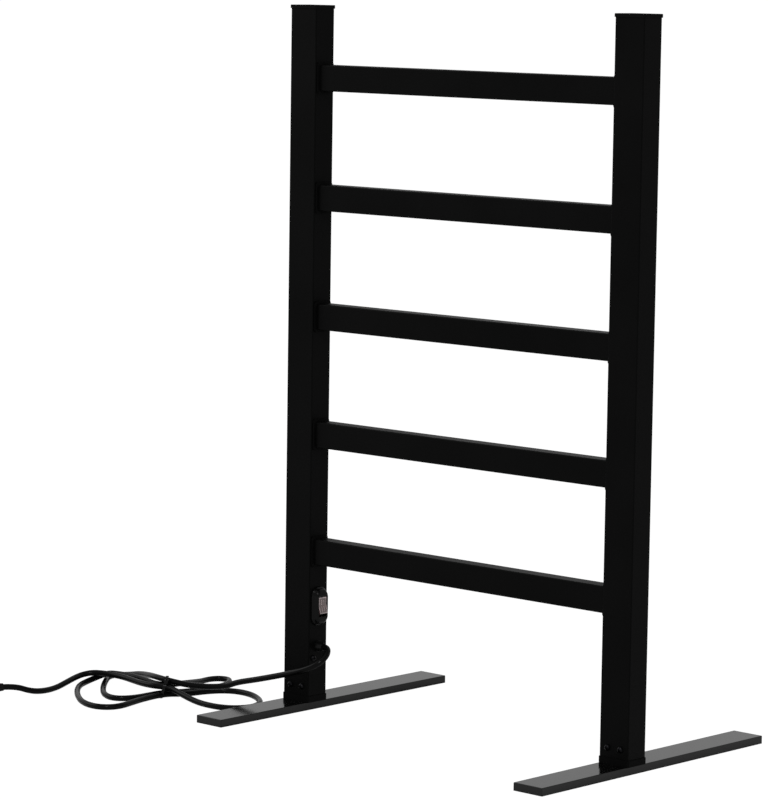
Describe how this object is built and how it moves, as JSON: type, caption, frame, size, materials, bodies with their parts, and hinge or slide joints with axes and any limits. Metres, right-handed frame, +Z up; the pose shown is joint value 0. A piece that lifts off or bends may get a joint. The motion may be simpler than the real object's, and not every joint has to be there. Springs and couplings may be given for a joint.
{
  "type": "heated towel rail",
  "caption": "Free-standing heated towel rail: two rectangular posts on flat feet carry level bars, with a rocker switch, a mains lead in a tied hank and a plug.",
  "frame": {"origin": "on the floor, midway between the posts and at the middle of the feet's length", "axes": "+X from the switch's post to the other post, -Y towards the front, where the posts stand nearer the feet's ends, +Z up"},
  "size_m": [0.8209, 0.5234, 0.82],
  "materials": {
    "satin_black_metal": "satin powder coat",
    "foot_metal": "satin powder coat",
    "black_moulding": "fine texture",
    "soft_black_moulding": "semi-matt",
    "blackened_steel": "blackened",
    "silicone": "matt",
    "pale_insulator": "matt",
    "wire_cover": "smooth",
    "plated_metal": "plated",
    "rocker_lens": "glossy translucent",
    "tie_nylon": "smooth",
    "cord_jacket": "semi-matt"
  },
  "bodies": {
    "frame": {"cable_tie": "tie_nylon", "clamp_screw": "blackened_steel", "cord_clamp": "pale_insulator", "cord_gland": "soft_black_moulding", "cord_hank": "cord_jacket", "cord_lead": "cord_jacket", "cord_stub": "cord_jacket", "cord_tail": "cord_jacket", "heating_cable": "silicone", "inner_wires": "wire_cover", "left_bar_collars": "black_moulding", "left_foot": "foot_metal", "left_foot_bolts": "blackened_steel", "left_grommets": "silicone", "left_post": "satin_black_metal", "left_shoe": "black_moulding", "left_shoe_screws": "blackened_steel", "left_top_cap": "black_moulding", "plug_body": "soft_black_moulding", "plug_pins": "plated_metal", "right_bar_collars": "black_moulding", "right_foot": "foot_metal", "right_foot_bolts": "blackened_steel", "right_grommets": "silicone", "right_post": "satin_black_metal", "right_shoe": "black_moulding", "right_shoe_screws": "blackened_steel", "right_top_cap": "black_moulding", "switch_bezel": "soft_black_moulding", "switch_cup": "soft_black_moulding", "switch_tabs": "plated_metal", "terminal_block": "pale_insulator", "thermal_cutout": "pale_insulator", "towel_bar_1": "satin_black_metal", "towel_bar_2": "satin_black_metal", "towel_bar_3": "satin_black_metal", "towel_bar_4": "satin_black_metal", "towel_bar_5": "satin_black_metal"},
    "rocker": {"switch_rocker": "rocker_lens"}
  },
  "joints": [
    {"name": "rocker_tilt", "type": "hinge", "parent": "frame", "child": "rocker", "pos_m": [-0.223, -0.034, 0.122], "axis": [0, 1, 0], "range_deg": [0, 16]}
  ]
}
